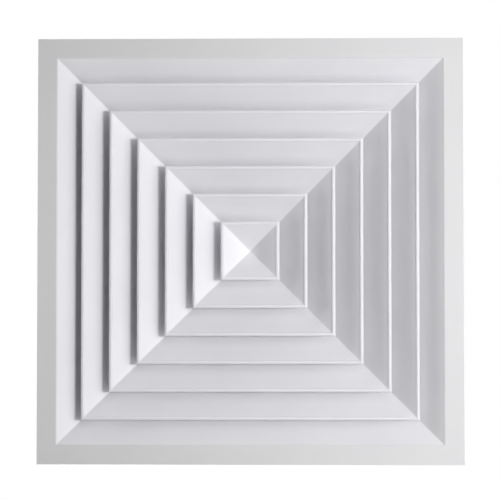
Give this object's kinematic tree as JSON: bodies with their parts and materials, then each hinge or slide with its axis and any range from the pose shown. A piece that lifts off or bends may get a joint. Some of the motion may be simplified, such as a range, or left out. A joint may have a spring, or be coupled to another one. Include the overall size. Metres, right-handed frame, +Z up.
{
  "type": "ceiling air diffuser",
  "caption": "Square white ceiling air diffuser: nested mitred louvre rings round a recessed pyramid, on a removable core, with an opposed-blade damper in the neck.",
  "frame": {"origin": "centre of the face, on the plane of the flange's room side; it hangs face down, so this is its lowest plane", "axes": "+Z up into the duct, +X to the face's right as seen from below with the damper lever at the top edge (-Y)"},
  "size_m": [0.595, 0.595, 0.108],
  "materials": {
    "white_coat": "satin",
    "black_paint": "matte",
    "galvanised": "satin",
    "spring_steel": "satin",
    "zinc": "gloss"
  },
  "bodies": {
    "frame": {"frame_side_right": "white_coat", "frame_side_rear": "white_coat", "frame_side_left": "white_coat", "frame_side_front": "white_coat", "frame_corner_key_1": "galvanised", "frame_corner_key_2": "galvanised", "frame_corner_key_3": "galvanised", "frame_corner_key_4": "galvanised", "damper_rail_right": "galvanised", "damper_rail_rear": "galvanised", "damper_rail_left": "galvanised", "damper_rail_front": "galvanised", "damper_screw_1": "zinc", "damper_screw_2": "zinc", "damper_screw_3": "zinc", "damper_screw_4": "zinc"},
    "core": {"louvre_1_right": "white_coat", "louvre_1_rear": "white_coat", "louvre_1_left": "white_coat", "louvre_1_front": "white_coat", "louvre_2_right": "white_coat", "louvre_2_rear": "white_coat", "louvre_2_left": "white_coat", "louvre_2_front": "white_coat", "louvre_3_right": "white_coat", "louvre_3_rear": "white_coat", "louvre_3_left": "white_coat", "louvre_3_front": "white_coat", "louvre_4_right": "white_coat", "louvre_4_rear": "white_coat", "louvre_4_left": "white_coat", "louvre_4_front": "white_coat", "louvre_5_right": "white_coat", "louvre_5_rear": "white_coat", "louvre_5_left": "white_coat", "louvre_5_front": "white_coat", "centre_cone": "white_coat", "centre_post": "galvanised", "cross_bar_lower": "galvanised", "cross_bar_upper": "galvanised", "core_clip_right": "spring_steel", "core_clip_rear": "spring_steel", "core_clip_left": "spring_steel", "core_clip_front": "spring_steel", "clip_rivet_right": "zinc", "clip_rivet_rear": "zinc", "clip_rivet_left": "zinc", "clip_rivet_front": "zinc"},
    "blade_1": {"damper_blade_1": "black_paint"},
    "blade_2": {"damper_blade_2": "black_paint"},
    "blade_3": {"damper_blade_3": "black_paint"},
    "blade_4": {"damper_blade_4": "black_paint"},
    "blade_5": {"damper_blade_5": "black_paint"},
    "blade_6": {"damper_blade_6": "black_paint"},
    "blade_7": {"damper_blade_7": "black_paint"},
    "blade_8": {"damper_blade_8": "black_paint"},
    "link": {"link_plate": "galvanised", "damper_lever": "galvanised"}
  },
  "joints": [
    {"name": "core_drop", "type": "slide", "parent": "frame", "child": "core", "axis": [0, 0, -1], "range_m": [0, 0.15]},
    {"name": "link_slide", "type": "slide", "parent": "frame", "child": "link", "axis": [1, 0, 0], "range_m": [-0.00848, 0.00848]},
    {"name": "blade_1_turn", "type": "hinge", "parent": "frame", "child": "blade_1", "pos_m": [-0.1925, 0, 0.084], "axis": [0, 1, 0], "range_deg": [-45, 45]},
    {"name": "blade_2_turn", "type": "hinge", "parent": "frame", "child": "blade_2", "pos_m": [-0.1375, 0, 0.084], "axis": [0, 1, 0], "range_deg": [-45, 45]},
    {"name": "blade_3_turn", "type": "hinge", "parent": "frame", "child": "blade_3", "pos_m": [-0.0825, 0, 0.084], "axis": [0, 1, 0], "range_deg": [-45, 45]},
    {"name": "blade_4_turn", "type": "hinge", "parent": "frame", "child": "blade_4", "pos_m": [-0.0275, 0, 0.084], "axis": [0, 1, 0], "range_deg": [-45, 45]},
    {"name": "blade_5_turn", "type": "hinge", "parent": "frame", "child": "blade_5", "pos_m": [0.0275, 0, 0.084], "axis": [0, 1, 0], "range_deg": [-45, 45]},
    {"name": "blade_6_turn", "type": "hinge", "parent": "frame", "child": "blade_6", "pos_m": [0.0825, 0, 0.084], "axis": [0, 1, 0], "range_deg": [-45, 45]},
    {"name": "blade_7_turn", "type": "hinge", "parent": "frame", "child": "blade_7", "pos_m": [0.1375, 0, 0.084], "axis": [0, 1, 0], "range_deg": [-45, 45]},
    {"name": "blade_8_turn", "type": "hinge", "parent": "frame", "child": "blade_8", "pos_m": [0.1925, 0, 0.084], "axis": [0, 1, 0], "range_deg": [-45, 45]}
  ],
  "couplings": [
    {"joint": "blade_1_turn", "follows": "link_slide", "rad_per_m": 92.56},
    {"joint": "blade_2_turn", "follows": "link_slide", "rad_per_m": -92.56},
    {"joint": "blade_3_turn", "follows": "link_slide", "rad_per_m": 92.56},
    {"joint": "blade_4_turn", "follows": "link_slide", "rad_per_m": -92.56},
    {"joint": "blade_5_turn", "follows": "link_slide", "rad_per_m": 92.56},
    {"joint": "blade_6_turn", "follows": "link_slide", "rad_per_m": -92.56},
    {"joint": "blade_7_turn", "follows": "link_slide", "rad_per_m": 92.56},
    {"joint": "blade_8_turn", "follows": "link_slide", "rad_per_m": -92.56}
  ]
}
